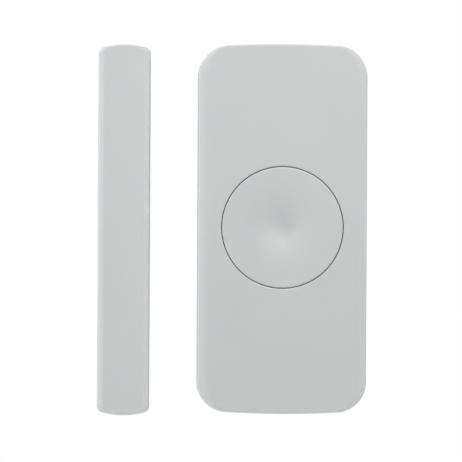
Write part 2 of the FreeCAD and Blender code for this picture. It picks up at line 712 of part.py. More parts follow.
def contact_plate(x0, x1):
    """A flat spring-steel contact at one end of the cell, with a tail to the board."""
    d0, d1 = CONTACT_SLOT
    pad = box(x0, x1, 7.0, 15.0, BATTERY_Z - 4, BATTERY_Z + 4)
    tail = box(x0, x1, d0, d1, BATTERY_Z + 3, -16.9)
    foot = box(x0, x0 + 1.4, PCB_FRONT, d0 + 0.1, -18.5, -16.9)
    return fused([pad, tail, foot])


def positive_contact():
    return contact_plate(POSITIVE_X[0], POSITIVE_X[1])


def cone_coil(x0, x1, radius0, radius1, turns, wire):
    """A cone of wire about the cell's axis, swept along four arcs a turn."""
    steps = int(8 * turns)
    points = []
    for step in range(steps + 1):
        share = step / steps
        angle = 2 * math.pi * turns * share
        radius = radius0 + (radius1 - radius0) * share
        points.append(V(x0 + (x1 - x0) * share,
                        -BATTERY_DEPTH + radius * math.cos(angle),
                        BATTERY_Z + radius * math.sin(angle)))
    arcs = [Part.Arc(*points[i:i + 3]).toShape() for i in range(0, steps, 2)]
    path = Part.Wire(arcs)
    first = path.Edges[0]
    start = first.FirstParameter
    circle = Part.Wire(Part.makeCircle(wire, first.valueAt(start), first.tangentAt(start)))
    return path.makePipeShell([circle], True, True)


def negative_spring():
    """The contact plate with a cone of spring wire that presses on the cell."""
    plate = contact_plate(NEGATIVE_X[0], NEGATIVE_X[1])
    wire = 0.32
    clear = wire + 2 * SNUG
    coil = cone_coil(NEGATIVE_X[1] + clear, BATTERY_LEFT + 0.22 - clear, 4.6, 2.4, 2.5, wire)
    return group([plate, coil])


# ---------------------------------------------------------------- magnet bar
MAGNET_FLOOR = 9.6
COVER_FRONT = 3.8
COVER_GAP = 0.08
BAR_BACK = 5.3
BAR_HALF = (3.2, 16.0)      # half the bar magnet's width and height


def magnet_case():
    outer = drafted(magnet_outline, UNIT_BACK, 0, MAGNET_DEPTH, MAGNET_DRAFT)
    outer = outer.makeFillet(MAGNET_EDGE, edges_at(outer, MAGNET_DEPTH))
    inner = slab(magnet_outline, UNIT_BACK - PAST, MAGNET_FLOOR, MAGNET_WALL)
    shell = outer.cut(inner)
    reach = MAGNET_WIDTH / 2 - MAGNET_WALL + SUNK
    beside, beyond = BAR_HALF[0] + 0.1, BAR_HALF[1] + 0.1
    ribs = []
    for sign in (-1, 1):
        z0, z1 = sorted((sign * beyond, sign * (beyond + 0.8)))
        ribs.append(box(MAGNET_X - reach, MAGNET_X + reach, 6.1, MAGNET_FLOOR + SUNK, z0, z1))
        x0, x1 = sorted((MAGNET_X + sign * beside, MAGNET_X + sign * reach))
        ribs.append(box(x0, x1, 6.4, MAGNET_FLOOR + SUNK, -0.6, 0.6))
    return fused([shell] + ribs)


def magnet_rear_cover():
    base = slab(magnet_outline, UNIT_BACK, COVER_FRONT, MAGNET_WALL + COVER_GAP)
    ribs = []
    for z in (-37.6, 37.6):
        ribs.append(box(MAGNET_X - 3.0, MAGNET_X + 3.0, COVER_FRONT - SUNK, 4.6, z - 0.4, z + 0.4))
    inside = slab(magnet_outline, UNIT_BACK, MAGNET_FLOOR, MAGNET_WALL + COVER_GAP)
    bosses = [b.common(inside) for b in MAGNET_HOOKS.bosses(COVER_FRONT)]
    return cut(fused([base] + ribs + bosses), MAGNET_HOOKS.channels())


def bar_magnet():
    half_w, half_h = BAR_HALF
    x0, x1 = MAGNET_X - half_w, MAGNET_X + half_w
    return rounded_block(x0, x1, BAR_BACK, MAGNET_FLOOR - SNUG, -half_h, half_h, 0.3)


def magnet_foam():
    """The strip of soft foam that presses the magnet up against the case."""
    x0, x1 = MAGNET_X - 2.4, MAGNET_X + 2.4
    return rounded_block(x0, x1, COVER_FRONT + SNUG, BAR_BACK - SNUG, -13.5, 13.5, 0.5)


# ---------------------------------------------------------------- write the files
SENSOR_NODES = {
    "sensor_backplate": sensor_backplate,
    "sensor_adhesive_pad": lambda: adhesive_pad(0, SENSOR_PAD),
    "front_housing": front_housing,
    "rear_chassis": rear_chassis,
    "chassis_screws": chassis_screws,
    "button_lens": button_lens,
    "button_frame": button_frame,
    "main_pcb": main_pcb,
    "pcb_screws": pcb_screws,
    "rf_shield": rf_shield,
    "radio_chip": radio_chip,
    "microcontroller": microcontroller,
    "crystal": crystal,
    "antenna": antenna,
    "status_leds": status_leds,
    "smd_components": smd_components,
    "pir_can": pir_can,
    "pir_window": pir_window,
    "pir_header": pir_header,
    "pir_pins": pir_pins,
    "pir_funnel": pir_funnel,
    "light_pipes": light_pipes,
    "tactile_switches": tactile_switches,
    "switch_plungers": switch_plungers,
    "reed_glass": reed_glass,
    "reed_fixed_blade": reed_fixed_blade,
    "reed_upper_lead": lambda: reed_lead(1),
    "reed_moving_blade": reed_moving_blade,
    "battery_can": battery_can,
    "battery_core": battery_core,
    "battery_sleeve": battery_sleeve,
    "battery_washer": battery_washer,
    "battery_positive_cap": battery_positive_cap,
    "positive_contact": positive_contact,
    "negative_spring": negative_spring,
}
MAGNET_NODES = {            # built level with the sensor, then moved by MAGNET_Z
    "magnet_backplate": magnet_backplate,
    "magnet_adhesive_pad": lambda: adhesive_pad(MAGNET_X, MAGNET_PAD),
    "magnet_case": magnet_case,
    "magnet_rear_cover": magnet_rear_cover,
    "bar_magnet": bar_magnet,
    "magnet_foam": magnet_foam,
}


def main():
    os.makedirs("parts", exist_ok=True)
    for name, make in {**SENSOR_NODES, **MAGNET_NODES}.items():
        shape = make()
        if name in MAGNET_NODES:
            shape.translate(V(0, 0, MAGNET_Z))
        solids = shape.Solids
        valid = shape.isValid() and solids and all(s.isClosed() for s in solids)
        print(f"{name}: {len(solids)} solid(s), {shape.Volume:.1f} mm3, {'ok' if valid else 'NOT VALID'}")
        shape.exportStep(f"parts/{name}.step")


main()
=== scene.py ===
"""The looks of a door contact sensor and its magnet bar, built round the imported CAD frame.

Metres throughout. The front of the sensor faces -Y, the wall is the plane y = 0 and +Z is up.
"""
import json
import math

import bmesh
import bpy
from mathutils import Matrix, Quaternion, Vector


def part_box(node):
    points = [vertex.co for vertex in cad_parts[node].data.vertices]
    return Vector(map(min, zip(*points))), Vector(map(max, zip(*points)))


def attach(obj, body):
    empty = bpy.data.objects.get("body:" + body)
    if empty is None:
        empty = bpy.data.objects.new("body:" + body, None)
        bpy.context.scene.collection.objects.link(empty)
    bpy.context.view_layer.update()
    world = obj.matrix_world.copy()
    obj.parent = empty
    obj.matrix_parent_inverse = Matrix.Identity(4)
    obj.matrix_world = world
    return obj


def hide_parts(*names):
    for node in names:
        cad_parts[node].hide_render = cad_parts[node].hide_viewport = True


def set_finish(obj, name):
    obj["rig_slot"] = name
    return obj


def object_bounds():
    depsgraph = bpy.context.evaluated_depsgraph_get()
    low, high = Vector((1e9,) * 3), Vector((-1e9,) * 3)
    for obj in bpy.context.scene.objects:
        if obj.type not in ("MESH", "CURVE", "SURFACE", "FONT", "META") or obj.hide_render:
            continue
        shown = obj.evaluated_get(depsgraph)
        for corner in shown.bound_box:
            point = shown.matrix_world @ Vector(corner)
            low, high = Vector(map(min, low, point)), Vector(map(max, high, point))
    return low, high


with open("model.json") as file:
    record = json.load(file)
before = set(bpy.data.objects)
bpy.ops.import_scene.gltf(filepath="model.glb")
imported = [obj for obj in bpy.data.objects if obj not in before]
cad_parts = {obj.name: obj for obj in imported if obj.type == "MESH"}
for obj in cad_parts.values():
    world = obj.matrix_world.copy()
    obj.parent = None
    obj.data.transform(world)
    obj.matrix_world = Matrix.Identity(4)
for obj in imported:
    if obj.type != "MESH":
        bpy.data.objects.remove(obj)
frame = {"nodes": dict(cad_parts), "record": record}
cad_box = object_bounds()
MM = 0.001

# ---------------------------------------------------------------- outlines and skins
END_STEPS = 14                      # points along half of a bowed end, round a corner and along half a side
CORNER_STEPS = 22
SIDE_STEPS = 26
SHARP = math.radians(38)            # edges that turn by more than this are not smoothed


class Outline:
    """A rounded rectangle with gently bowed ends, seen from the room, fitted to a CAD node."""

    def __init__(self, node, corner, bow):
        low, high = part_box(node)
        self.x = (low.x + high.x) / 2
        self.z = (low.z + high.z) / 2
        self.half_width = (high.x - low.x) / 2
        self.half_height = (high.z - low.z) / 2
        self.front = low.y
        self.back = high.y
        self.corner = corner
        self.bow = bow

    def ring(self, y, inset, end_gain=0.0, tightest=0.1 * MM):
        """Points clockwise from the top's middle; point i mirrors point -i across the middle line.

        The top and bottom lie end_gain less far in than the sides, and no corner is tighter than tightest.
        """
        corner = max(self.corner - inset, tightest)
        bow = self.bow - inset
        corner_x = self.half_width - inset - corner
        bow_z = self.half_height - inset - bow
        corner_z = bow_z + math.sqrt((bow - corner) ** 2 - corner_x ** 2)
        lean = math.atan2(corner_x, corner_z - bow_z)
        quarter = []
        for step in range(END_STEPS):
            angle = lean * step / END_STEPS
            quarter.append((bow * math.sin(angle), bow_z + bow * math.cos(angle), angle))
        for step in range(CORNER_STEPS):
            angle = lean + (math.pi / 2 - lean) * step / CORNER_STEPS
            x = corner_x + corner * math.sin(angle)
            quarter.append((x, corner_z + corner * math.cos(angle), angle))
        for step in range(SIDE_STEPS):
            quarter.append((self.half_width - inset, corner_z * (1 - step / SIDE_STEPS), math.pi / 2))
        shifted = []
        for x, z, angle in quarter:
            push = end_gain * math.cos(angle) ** 2
            shifted.append((x + push * math.sin(angle), z + push * math.cos(angle)))
        right = shifted + [(self.half_width - inset, 0.0)] + [(x, -z) for x, z in reversed(shifted)]
        left = [(-x, z) for x, z in reversed(right[1:-1])]
        return [Vector((self.x + x, y, self.z + z)) for x, z in right + left]


def circle_facing(ring, centre, radius, y):
    """A circle whose points lie in the same directions from its centre as the points of a ring."""
    points = []
    for point in ring:
        away = Vector((point.x - centre.x, 0, point.z - centre.z)).normalized()
        points.append(Vector((centre.x, y, centre.z)) + away * radius)
    return points


def blended(ring_a, ring_b, share):
    """A ring that lies between two rings."""
    return [a.lerp(b, share) for a, b in zip(ring_a, ring_b)]


def quarter_round(steps):
    """(across, along) from (0, 1) to (1, 0) round a quarter circle that bulges towards (0, 0)."""
    angles = [math.pi / 2 * step / steps for step in range(steps + 1)]
    return [(1 - math.cos(angle), 1 - math.sin(angle)) for angle in angles]


def side_edge(reach, tilt, radius, fade):
    """(in from the side, back from the face) round a tight corner, up a slope and gently onto the face.

    The slope leans by tilt, and flattens out over the last part of the reach, the fade.
    """
    slope = math.tan(tilt)
    corner = radius * (1 - math.sin(tilt))
    drop = slope * (fade / 2 + reach - fade - corner)
    middle = drop + radius * math.cos(tilt)
    steps = 10
    fading = []
    rounding = []
    for step in range(steps, -1, -1):
        share = step / steps
        fading.append((reach - fade * share, slope * fade * share ** 2 / 2))
        angle = tilt + (math.pi / 2 - tilt) * share
        rounding.append((radius * (1 - math.sin(angle)), middle - radius * math.cos(angle)))
    return rounding + fading


def round_corner(radius, back):
    """How far in a quarter-round corner has come at a distance back from the face."""
    rise = max(radius - back, 0)
    return radius - math.sqrt(radius ** 2 - rise ** 2)


def mesh_object(name, solids):
    """An object whose mesh holds closed solids, each given as (points, faces)."""
    work = bmesh.new()
    for points, faces in solids:
        corners = [work.verts.new(point) for point in points]
        for face in faces:
            work.faces.new([corners[i] for i in face])
    bmesh.ops.remove_doubles(work, verts=work.verts, dist=0.0005 * MM)
    bmesh.ops.recalc_face_normals(work, faces=work.faces)
    made = bpy.data.objects.new(name, bpy.data.meshes.new(name))
    work.to_mesh(made.data)
    work.free()
    bpy.context.scene.collection.objects.link(made)
    return made


def combine(piece, solids, operation):
    """Joins closed solids onto a piece (UNION) or cuts them out of it (DIFFERENCE)."""
    tool = mesh_object("tool", solids)
    change = piece.modifiers.new("change", "BOOLEAN")
    change.solver = "EXACT"
    change.operation = operation
    change.object = tool
    state = bpy.context.evaluated_depsgraph_get()
    changed = bpy.data.meshes.new_from_object(piece.evaluated_get(state))
    piece.modifiers.clear()
    piece.data = changed
    bpy.data.objects.remove(tool)


def mesh_piece(name, solid, body, slot, nodes, added=(), removed=()):
    """Makes a solid into a piece on a body, in a slot, that replaces CAD nodes.

    It is smooth but for its sharp edges. Added solids are joined on and removed ones are cut out.
    """
    piece = mesh_object(name, [solid])
    if added:
        combine(piece, added, "UNION")
    if removed:
        combine(piece, removed, "DIFFERENCE")
    piece.data.name = name
    piece.data.shade_smooth()
    piece.data.set_sharp_from_angle(angle=SHARP)
    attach(piece, body)
    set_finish(piece, slot)
    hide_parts(*nodes)
    return piece


def ring_faces(ring_count, size, closed=False):
    """Quads between neighbouring rings of the same size, and from the last to the first if closed."""
    faces = []
    for row in range(ring_count if closed else ring_count - 1):
        here = row * size
        there = (row + 1) % ring_count * size
        for i in range(size):
            j = (i + 1) % size
            faces.append((here + i, here + j, there + j, there + i))
    return faces


def ladder_faces(start, size):
    """Fills a symmetric ring with rungs from one side to the other."""
    faces = [(start, start + 1, start + size - 1)]
    for i in range(1, size // 2 - 1):
        faces.append((start + i, start + i + 1, start + size - i - 1, start + size - i))
    middle = size // 2
    faces.append((start + middle - 1, start + middle, start + middle + 1))
    return faces


def tube(rings):
    """Points and faces of a skin through rings that also joins the last one to the first."""
    points = [point for ring in rings for point in ring]
    return points, ring_faces(len(rings), len(rings[0]), closed=True)


def capped(rings):
    """Points and faces of a skin through symmetric rings, with its first and last ring filled."""
    size = len(rings[0])
    points = [point for ring in rings for point in ring]
    faces = ring_faces(len(rings), size)
    return points, faces + ladder_faces(0, size) + ladder_faces((len(rings) - 1) * size, size)


def lathe(profile, centre, steps):
    """Points and faces of (radius, y) pairs, from one pole to the other, turned about a line along Y."""
    points = []
    for radius, y in profile:
        for step in range(steps):
            angle = 2 * math.pi * step / steps
            offset = Vector((math.sin(angle), 0, math.cos(angle))) * radius
            points.append(Vector((centre.x, y, centre.z)) + offset)
    return points, ring_faces(len(profile), steps)


def block(x, y, z):
    """A closed box between the two ends given along each axis."""
    points = [Vector((x[i], y[j], z[k])) for i in (0, 1) for j in (0, 1) for k in (0, 1)]
    faces = [(0, 1, 3, 2), (4, 6, 7, 5), (0, 4, 5, 1), (2, 3, 7, 6), (0, 2, 6, 4), (1, 5, 7, 3)]
    return points, faces


def blind_post(x, z, radius, bore, front, back, bore_end):
    """A round post along Y with a blind hole in its back end."""
    outside = [(0.0, front), (radius, front), (radius, back)]
    hole = [(bore, back), (bore, bore_end), (0.0, bore_end)]
    return lathe(outside + hole, Vector((x, 0, z)), POST_STEPS)


# ---------------------------------------------------------------- the pieces that show
SENSOR_DRAFT = 0.35 * MM            # how far the sides lean in between back and front
SENSOR_SIDE_EDGE = side_edge(reach=2.8 * MM, tilt=math.radians(20), radius=0.3 * MM, fade=2.0 * MM)
SENSOR_END_EDGE = 0.35 * MM         # the top and bottom edges' radius
SENSOR_WALL = 1.6 * MM
SENSOR_FRONT_WALL = 1.8 * MM
MAGNET_DRAFT = 0.3 * MM
MAGNET_SIDE_EDGE = side_edge(reach=1.25 * MM, tilt=math.radians(24), radius=0.3 * MM, fade=0.35 * MM)
MAGNET_END_EDGE = 0.3 * MM
MAGNET_WALL = 1.2 * MM
MAGNET_FRONT_WALL = 1.4 * MM
BACK_EDGE = 0.25 * MM               # the radius of both shells' back edge
TIGHTEST = 0.6                      # the share of its radius that a corner keeps on the way to the face
SUNK = 0.2 * MM                     # how far a rib or boss runs into the wall it stands on
POST_STEPS = 48                     # points round a screw boss
BUTTON_STEPS = 160                  # and round the button
DISH_STEPS = 64                     # rings between the button's middle and its edge
STRAIGHT = 4.0                      # a bow so wide that an end of a foam pad is straight

sensor = Outline("front_housing", corner=6.8 * MM, bow=230 * MM)
magnet = Outline("magnet_case", corner=1.5 * MM, bow=16.8 * MM)
button_low, button_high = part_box("button_lens")
button_centre = (button_low + button_high) / 2
button_radius = (button_high.x - button_low.x) / 2


def outer_rings(outline, draft, edge, end_radius):
    """The outside of a shell: back edge, leaning side, and rounded front edge up to the flat face."""
    def leaning(y):
        return draft * (outline.back - y) / (outline.back - outline.front)

    rings = []
    for across, along in quarter_round(4):
        rings.append(outline.ring(outline.back - across * BACK_EDGE, along * BACK_EDGE))
    side_start = outline.back - BACK_EDGE
    side_end = outline.front + edge[0][1]
    for share in (0.04, 0.25, 0.5, 0.75, 0.96):
        y = side_start + (side_end - side_start) * share
        rings.append(outline.ring(y, leaning(y)))
    for across, back in edge:
        end_gain = across - round_corner(end_radius, back)
        inset = leaning(side_end) + across
        rings.append(outline.ring(outline.front + back, inset, end_gain, TIGHTEST * outline.corner))
    return rings


def face_ring(outline, inset, end_gain):
    """A ring in the flat of the face, just inside the front edge."""
    return outline.ring(outline.front, inset, end_gain, TIGHTEST * outline.corner)


def inner_rings(outline, wall, front_wall, draft, radius):
    """The inside of a shell, from the middle of its front wall back to its rear edge."""
    floor = outline.front + front_wall
    start = wall + draft
    rings = [outline.ring(floor, start + radius + 0.3 * MM)]
    for across, along in reversed(quarter_round(6)):
        rings.append(outline.ring(floor + along * radius, start + across * radius))
    rings.append(outline.ring(outline.back - BACK_EDGE, wall))
    rings.append(outline.ring(outline.back, wall - 0.1 * MM))
    return rings


def housing_fittings():
    """The screw bosses and ribs inside the sensor's front shell, and the slots for the snap tabs."""
    floor = sensor.front + SENSOR_FRONT_WALL - SUNK
    boss, bore = 2.4 * MM, 0.85 * MM
    boss_back, bore_end = -7.02 * MM, -14.0 * MM
    low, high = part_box("chassis_screws")
    head = (high.z - low.z) / 2         # the screw heads' radius
    posts = []
    for x in (low.x + head, high.x - head):
        posts.append(blind_post(x, low.z + head, boss, bore, floor, boss_back, bore_end))
    wall = sensor.half_width - SENSOR_WALL
    rib_reach, rib_back, half_rib = 1.0 * MM, -9.5 * MM, 0.4 * MM
    ribs = []
    for z in (-14.0 * MM, 24.0 * MM):
        for x in ((-wall - SUNK, rib_reach - wall), (wall - rib_reach, wall + SUNK)):
            ribs.append(block(x, (floor, rib_back), (z - half_rib, z + half_rib)))
    half_slot, slot_depths, slot_heights = 2.7 * MM, (-4.1 * MM, -3.1 * MM), (-39.7 * MM, -38.0 * MM)
    slots = []
    for x in (-8.0 * MM, 8.0 * MM):
        slots.append(block((x - half_slot, x + half_slot), slot_depths, slot_heights))
    return posts + ribs, slots


def magnet_ribs():
    """The ribs that hold the bar magnet, beyond its ends and beside its middle."""
    low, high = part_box("bar_magnet")
    floor = magnet.front + MAGNET_FRONT_WALL - SUNK
    reach = magnet.half_width - MAGNET_WALL + SUNK
    snug, thick = 0.1 * MM, 0.8 * MM
    end_back, side_back, half_side = -6.1 * MM, -6.4 * MM, 0.6 * MM
    across = (magnet.x - reach, magnet.x + reach)
    ribs = []
    for z in ((low.z - snug - thick, low.z - snug), (high.z + snug, high.z + snug + thick)):
        ribs.append(block(across, (floor, end_back), z))
    for x in ((across[0], low.x - snug), (high.x + snug, across[1])):
        ribs.append(block(x, (floor, side_back), (magnet.z - half_side, magnet.z + half_side)))
    return ribs


def front_shell():
    """The sensor's front shell, with the round opening and the sleeve that the button slides in."""
    gap, lip = 0.15 * MM, 0.35 * MM
    sleeve_wall, sleeve_middle, sleeve_back = 1.1 * MM, -18.0 * MM, -16.5 * MM
    fillet, chamfer = 0.3 * MM, 0.1 * MM
    opening = button_radius + gap
    sleeve = opening + sleeve_wall
    floor = sensor.front + SENSOR_FRONT_WALL
    reach = SENSOR_SIDE_EDGE[-1][0]
    outside = outer_rings(sensor, SENSOR_DRAFT, SENSOR_SIDE_EDGE, SENSOR_END_EDGE)
    near_edge = face_ring(sensor, SENSOR_DRAFT + reach + 0.12 * MM, reach - SENSOR_END_EDGE)
    rings = outside + [near_edge]

    def circle(radius, y):
        return circle_facing(outside[-1], button_centre, radius, y)

    lip_circle = circle(opening + lip + chamfer, sensor.front)
    rings += [blended(near_edge, lip_circle, share) for share in (0.15, 0.4, 0.7, 0.9, 1.0)]
    for across, along in reversed(quarter_round(6)):
        rings.append(circle(opening + across * lip, sensor.front + along * lip))
    for y in (sensor.front + lip + chamfer, sleeve_middle, sleeve_back - chamfer, sleeve_back):
        rings.append(circle(opening, y))
    rings += [circle(sleeve, sleeve_back), circle(sleeve, sleeve_back - chamfer)]
    rings += [circle(sleeve, floor + fillet), circle(sleeve + fillet, floor)]
    inside = inner_rings(sensor, SENSOR_WALL, SENSOR_FRONT_WALL, SENSOR_DRAFT, 0.8 * MM)
    rings += [blended(rings[-1], inside[0], share) for share in (0.5, 0.9)]
    added, removed = housing_fittings()
    return mesh_piece("front_shell", tube(rings + inside), "sensor_unit", "shell_plastic",
                      ["front_housing"], added, removed)


def dish(radius):
    """How far the button's face lies below its rim at a radius from its middle."""
    depth, spread = 1.95 * MM, 6.3 * MM

    def shape(r):
        return depth / (1 + (r / spread) ** 2) ** 2

    return shape(radius) - shape(button_radius)


def button_cap():
    """The dished round button: a thin cap with a skirt, and ring-shaped lens steps on its inner face."""
    front, back = button_low.y, button_high.y
    edge, thickness, skirt, chamfer = 0.3 * MM, 0.8 * MM, 12.2 * MM, 0.1 * MM
    fillet = 0.15 * MM
    flat = button_radius - edge
    profile = []
    for step in range(DISH_STEPS + 1):
        radius = flat * step / DISH_STEPS
        profile.append((radius, front + dish(radius)))
    rim = front + dish(flat)
    for across, along in quarter_round(6)[::-1][1:]:
        profile.append((button_radius - across * edge, rim + along * edge))
    profile += [(button_radius, rim + edge + chamfer), (button_radius, back - 2 * chamfer)]
    profile += [(button_radius - chamfer, back), (skirt + chamfer, back), (skirt, back - chamfer)]
    inner = front + thickness
    profile += [(skirt, inner + dish(skirt) + fillet), (skirt - fillet, inner + dish(skirt))]
    lens_pitch, lens_step, slant = 0.55 * MM, 0.12 * MM, 0.02 * MM
    radius, smallest = 10.4 * MM, 1.2 * MM
    while radius > smallest:
        y = inner + dish(radius)
        profile += [(radius, y), (radius - slant, y - lens_step)]
        radius -= lens_pitch
    profile.append((0.0, inner + dish(0)))
    return mesh_piece("button_cap", lathe(profile, button_centre, BUTTON_STEPS), "button", "lens_plastic",
                      ["button_lens"])


def magnet_shell():
    """The magnet bar's case, closed in front."""
    inside = inner_rings(magnet, MAGNET_WALL, MAGNET_FRONT_WALL, 0.0, 0.1 * MM)
    outside = outer_rings(magnet, MAGNET_DRAFT, MAGNET_SIDE_EDGE, MAGNET_END_EDGE)
    reach = MAGNET_SIDE_EDGE[-1][0]
    face = face_ring(magnet, MAGNET_DRAFT + reach + 0.1 * MM, reach - MAGNET_END_EDGE)
    return mesh_piece("magnet_shell", capped(inside + outside + [face]), "magnet_bar", "shell_plastic",
                      ["magnet_case"], magnet_ribs())


def foam_pad(name, node, body):
    """A die-cut foam adhesive pad whose cut edges swell a little between its two faces."""
    low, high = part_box(node)
    pad = Outline(node, corner=1.5 * MM, bow=STRAIGHT)
    # how far in, in millimetres, and how far through the pad's thickness, up to its middle
    swelling = ((1.2, 0.0), (0.35, 0.0), (0.2, 0.03), (0.12, 0.1), (0.04, 0.25), (0.0, 0.5))
    section = list(swelling) + [(inset, 1 - share) for inset, share in reversed(swelling[:-1])]
    rings = [pad.ring(low.y + (high.y - low.y) * share, inset * MM) for inset, share in section]
    piece = mesh_piece(name, capped(rings), body, "foam_tape", [node])
    return piece


pieces = [
    front_shell(),
    button_cap(),
    magnet_shell(),
    foam_pad("sensor_foam", "sensor_adhesive_pad", "wall_plate"),
    foam_pad("magnet_foam_pad", "magnet_adhesive_pad", "magnet_plate"),
]


# ---------------------------------------------------------------- materials
EDGE_WEAR_AND_SHEEN_WIDTH = 0.35 * MM              # how far from a corner the edge mask reaches: wear, and on moulded plastic also a painted highlight


class Surface:
    """A node material on object coordinates, which are metres in the frame."""

    def __init__(self, name):
        self.material = bpy.data.materials.new(name)
        self.material.use_nodes = True
        self.tree = self.material.node_tree
        self.shader = self.tree.nodes["Principled BSDF"]
        self.place = self.tree.nodes.new("ShaderNodeTexCoord").outputs["Object"]

    def node(self, kind, settings=None, **inputs):
        """A node with settings as attributes and inputs by socket name; a socket as a value is linked."""
        made = self.tree.nodes.new(kind)
        for key, value in (settings or {}).items():
            setattr(made, key, value)
        for key, value in inputs.items():
            self.put(made.inputs[key.replace("_", " ")], value)
        return made

    def put(self, socket, value):
        """Links a socket to a value that is a socket itself, or else sets it."""
        if isinstance(value, bpy.types.NodeSocket):
            self.tree.links.new(value, socket)
        else:
            socket.default_value = value

    def noise(self, size, detail=3.0, stretch=(1, 1, 1)):
        """Noise from 0 to 1 whose grains are about size metres across."""
        place = self.node("ShaderNodeMapping", Vector=self.place, Scale=stretch).outputs["Vector"]
        made = self.node("ShaderNodeTexNoise", Vector=place, Scale=1 / size, Detail=detail)
        return made.outputs["Fac"]

    def cells(self, size, feature="F1"):
        """Distances in round cells about size metres across, from their middles or their walls."""
        made = self.node("ShaderNodeTexVoronoi", {"feature": feature}, Vector=self.place, Scale=1 / size)
        return made.outputs["Distance"]

    def ramp(self, value, low, high, start=0.3, end=0.7):
        """A number that runs from low to high as value runs from start to end."""
        made = self.tree.nodes.new("ShaderNodeMapRange")
        for index, number in ((0, value), (1, start), (2, end), (3, low), (4, high)):
            self.put(made.inputs[index], number)
        return made.outputs["Result"]

    def mixed(self, share, first, second):
        """Two colours mixed by a share from 0 to 1."""
        made = self.node("ShaderNodeMix", {"data_type": "RGBA"})
        for index, value in ((0, share), (6, first), (7, second)):
            self.put(made.inputs[index], value)
        return made.outputs[2]

    def bump(self, height, depth, strength, under=None):
        """Relief depth metres deep, on top of the relief under it."""
        made = self.node("ShaderNodeBump", Height=height, Distance=depth, Strength=strength)
        if under is not None:
            self.put(made.inputs["Normal"], under)
        return made.outputs["Normal"]

    def edges(self):
        """0 on flats, up to 1 at edges: where handling wears them, and on moulded plastic also where a
        painted highlight lightens them.
        """
        softened = self.node("ShaderNodeBevel", {"samples": 4}, Radius=EDGE_WEAR_AND_SHEEN_WIDTH).outputs["Normal"]
        plain = self.tree.nodes.new("ShaderNodeNewGeometry").outputs["Normal"]
        likeness = self.node("ShaderNodeVectorMath", {"operation": "DOT_PRODUCT"})
        self.put(likeness.inputs[0], softened)
        self.put(likeness.inputs[1], plain)
        return self.ramp(likeness.outputs["Value"], 1.0, 0.0, 0.85, 0.98)

    def finish(self, **inputs):
        """Puts values on the shader's sockets and gives the material."""
        for key, value in inputs.items():
            self.put(self.shader.inputs[key.replace("_", " ")], value)
        return self.material


def tint(colour, factor):
    """A colour made brighter or darker, with its alpha."""
    return tuple(min(channel * factor, 1.0) for channel in colour) + (1.0,)


def moulded(name, colour, rough=0.42, grain=0.16 * MM, relief=0.006 * MM, soft=0.0):
    """Moulded plastic: a fine spark-eroded grain, faint clouding, and edges rubbed slightly smoother and
    coloured slightly lighter, the lighter edges being partly wear and partly a painted highlight.
    """
    s = Surface(name)
    wear_and_sheen = s.edges()
    cloud = s.noise(14 * MM, 4)
    speck = s.noise(0.5 * MM, 2)
    base = s.mixed(s.ramp(cloud, 0, 1), tint(colour, 0.985), tint(colour, 1.012))
    base = s.mixed(s.ramp(speck, 0, 0.35), base, tint(colour, 0.97))
    # Edges a touch lighter in colour: partly rubbed wear, partly a painted highlight along the edges.
    base = s.mixed(s.ramp(wear_and_sheen, 0, 0.25, 0, 1), base, tint(colour, 1.06))
    normal = s.bump(s.noise(5 * MM, 2), 0.010 * MM, 0.4)
    normal = s.bump(s.noise(grain, 2), relief, 0.6, normal)
    smear = s.ramp(s.noise(3 * MM, 4), rough - 0.04, rough + 0.05)
    rubbed = s.node("ShaderNodeMath", {"operation": "MULTIPLY_ADD"})
    for index, value in enumerate((wear_and_sheen, -0.08, smear)):
        s.put(rubbed.inputs[index], value)
    s.finish(Base_Color=base, Roughness=rubbed.outputs[0], Normal=normal, IOR=1.49)
    if soft:
        s.finish(Subsurface_Weight=soft, Subsurface_Scale=0.6 * MM, Subsurface_Radius=(1.0, 0.9, 0.8))
    return s.material


def metal(name, colour, rough=0.3, drawn=(1, 1, 1), relief=0.004 * MM, stain=0.2):
    """Plated metal with drawing marks along one axis, a faint tarnish and brighter rubbed edges."""
    s = Surface(name)
    marks = s.noise(0.09 * MM, 3, drawn)
    tarnish = s.noise(2.2 * MM, 5)
    base = s.mixed(s.ramp(tarnish, 0, stain), tint(colour, 1.0), tint(colour, 0.72))
    base = s.mixed(s.ramp(marks, 0, 0.3), base, tint(colour, 1.15))
    base = s.mixed(s.ramp(s.edges(), 0, 0.5, 0, 1), base, tint(colour, 1.2))
    roughness = s.ramp(tarnish, rough - 0.06, rough + 0.12)
    s.finish(Metallic=1.0)
    return s.finish(Base_Color=base, Roughness=roughness, Normal=s.bump(marks, relief, 0.5))


def foam(name, colour, cell):
    """Closed-cell foam: small round cells with thin walls."""
    s = Surface(name)
    walls = s.cells(cell, "DISTANCE_TO_EDGE")
    hollow = s.cells(cell)
    base = s.mixed(s.ramp(walls, 1, 0, 0.0, 0.12), tint(colour, 0.86), tint(colour, 1.04))
    base = s.mixed(s.ramp(s.noise(4 * MM), 0, 0.4), base, tint(colour, 0.95))
    s.finish(Specular_IOR_Level=0.3)
    return s.finish(Base_Color=base, Roughness=s.ramp(hollow, 0.75, 0.95, 0, 0.6),
                    Normal=s.bump(hollow, 0.06 * MM, 0.7))


